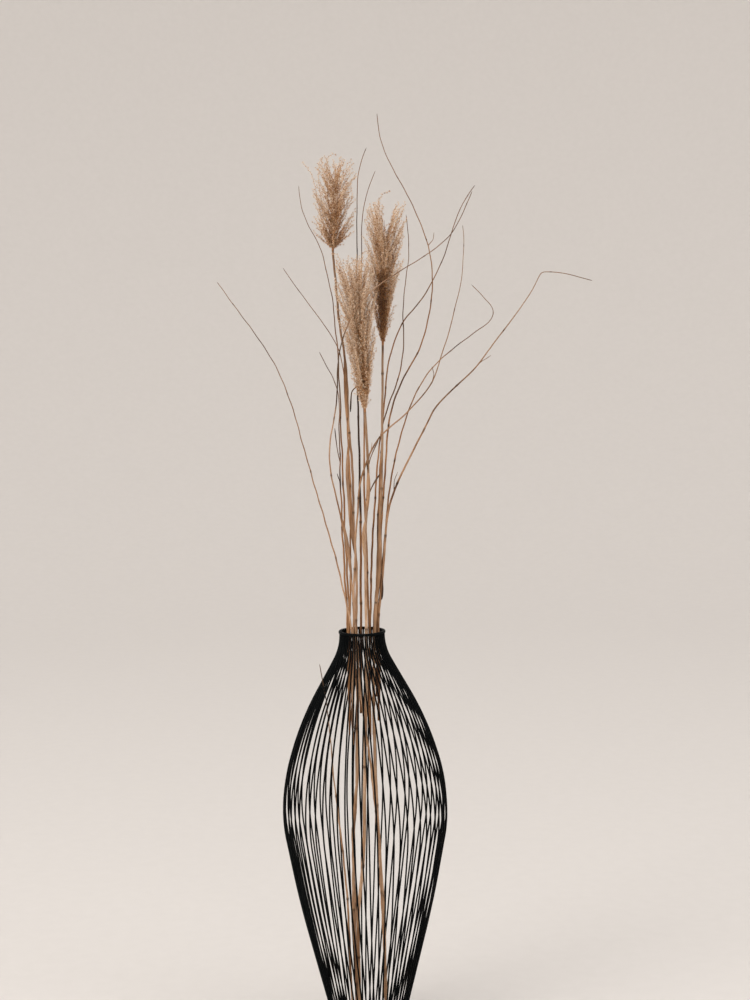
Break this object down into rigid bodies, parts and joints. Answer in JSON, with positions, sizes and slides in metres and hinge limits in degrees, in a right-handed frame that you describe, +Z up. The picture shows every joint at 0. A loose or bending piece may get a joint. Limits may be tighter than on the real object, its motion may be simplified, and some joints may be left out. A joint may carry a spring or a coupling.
{
  "type": "wire floor vase",
  "caption": "Tall open-wire floor vase with a narrow collar, a wide belly and a round foot, holding a lift-out bunch of dried grass plumes and curly twigs.",
  "frame": {"origin": "centre of the base plate's underside, where the vase stands on the floor", "axes": "+Z up along the vase's axis; -Y is the front, towards the viewer; +X is the viewer's right, where the longest twig arches out"},
  "size_m": [0.6769, 0.3098, 1.7352],
  "materials": {
    "wire_black": "matte powder coat",
    "twig_brown": "dry bark, matte",
    "stalk_tan": "dry stalk, satin",
    "plume_beige": "dry fluffy seed hair"
  },
  "bodies": {
    "vase": {"base_plate": "wire_black", "foot_ring": "wire_black", "rim_ring": "wire_black", "wires_01": "wire_black", "wires_02": "wire_black", "wires_03": "wire_black", "wires_04": "wire_black", "wires_05": "wire_black", "wires_06": "wire_black", "wires_07": "wire_black", "wires_08": "wire_black", "wires_09": "wire_black", "wires_10": "wire_black", "wires_11": "wire_black", "wires_12": "wire_black", "wires_13": "wire_black", "wires_14": "wire_black", "wires_15": "wire_black", "wires_16": "wire_black", "wires_17": "wire_black", "wires_18": "wire_black", "wires_19": "wire_black", "wires_20": "wire_black", "wires_21": "wire_black", "wires_22": "wire_black", "stray_twig": "twig_brown"},
    "dried_bunch": {"twig_back_left": "twig_brown", "twig_back_right": "twig_brown", "twig_behind_plume": "twig_brown", "twig_crossing": "twig_brown", "twig_hooked_left": "twig_brown", "twig_long_left": "twig_brown", "twig_long_right": "twig_brown", "twig_right_arching": "twig_brown", "twig_right_curl": "twig_brown", "twig_right_upright": "twig_brown", "twig_short_curl": "twig_brown", "twig_tallest": "twig_brown", "twig_thin_left": "twig_brown", "back_stalk": "stalk_tan", "front_stalk": "stalk_tan", "right_stalk": "stalk_tan", "back_plume": "plume_beige", "front_plume": "plume_beige", "right_plume": "plume_beige"}
  },
  "joints": [
    {"name": "bunch_lift", "type": "slide", "parent": "vase", "child": "dried_bunch", "axis": [0, 0, 1], "range_m": [0, 0.8]}
  ]
}
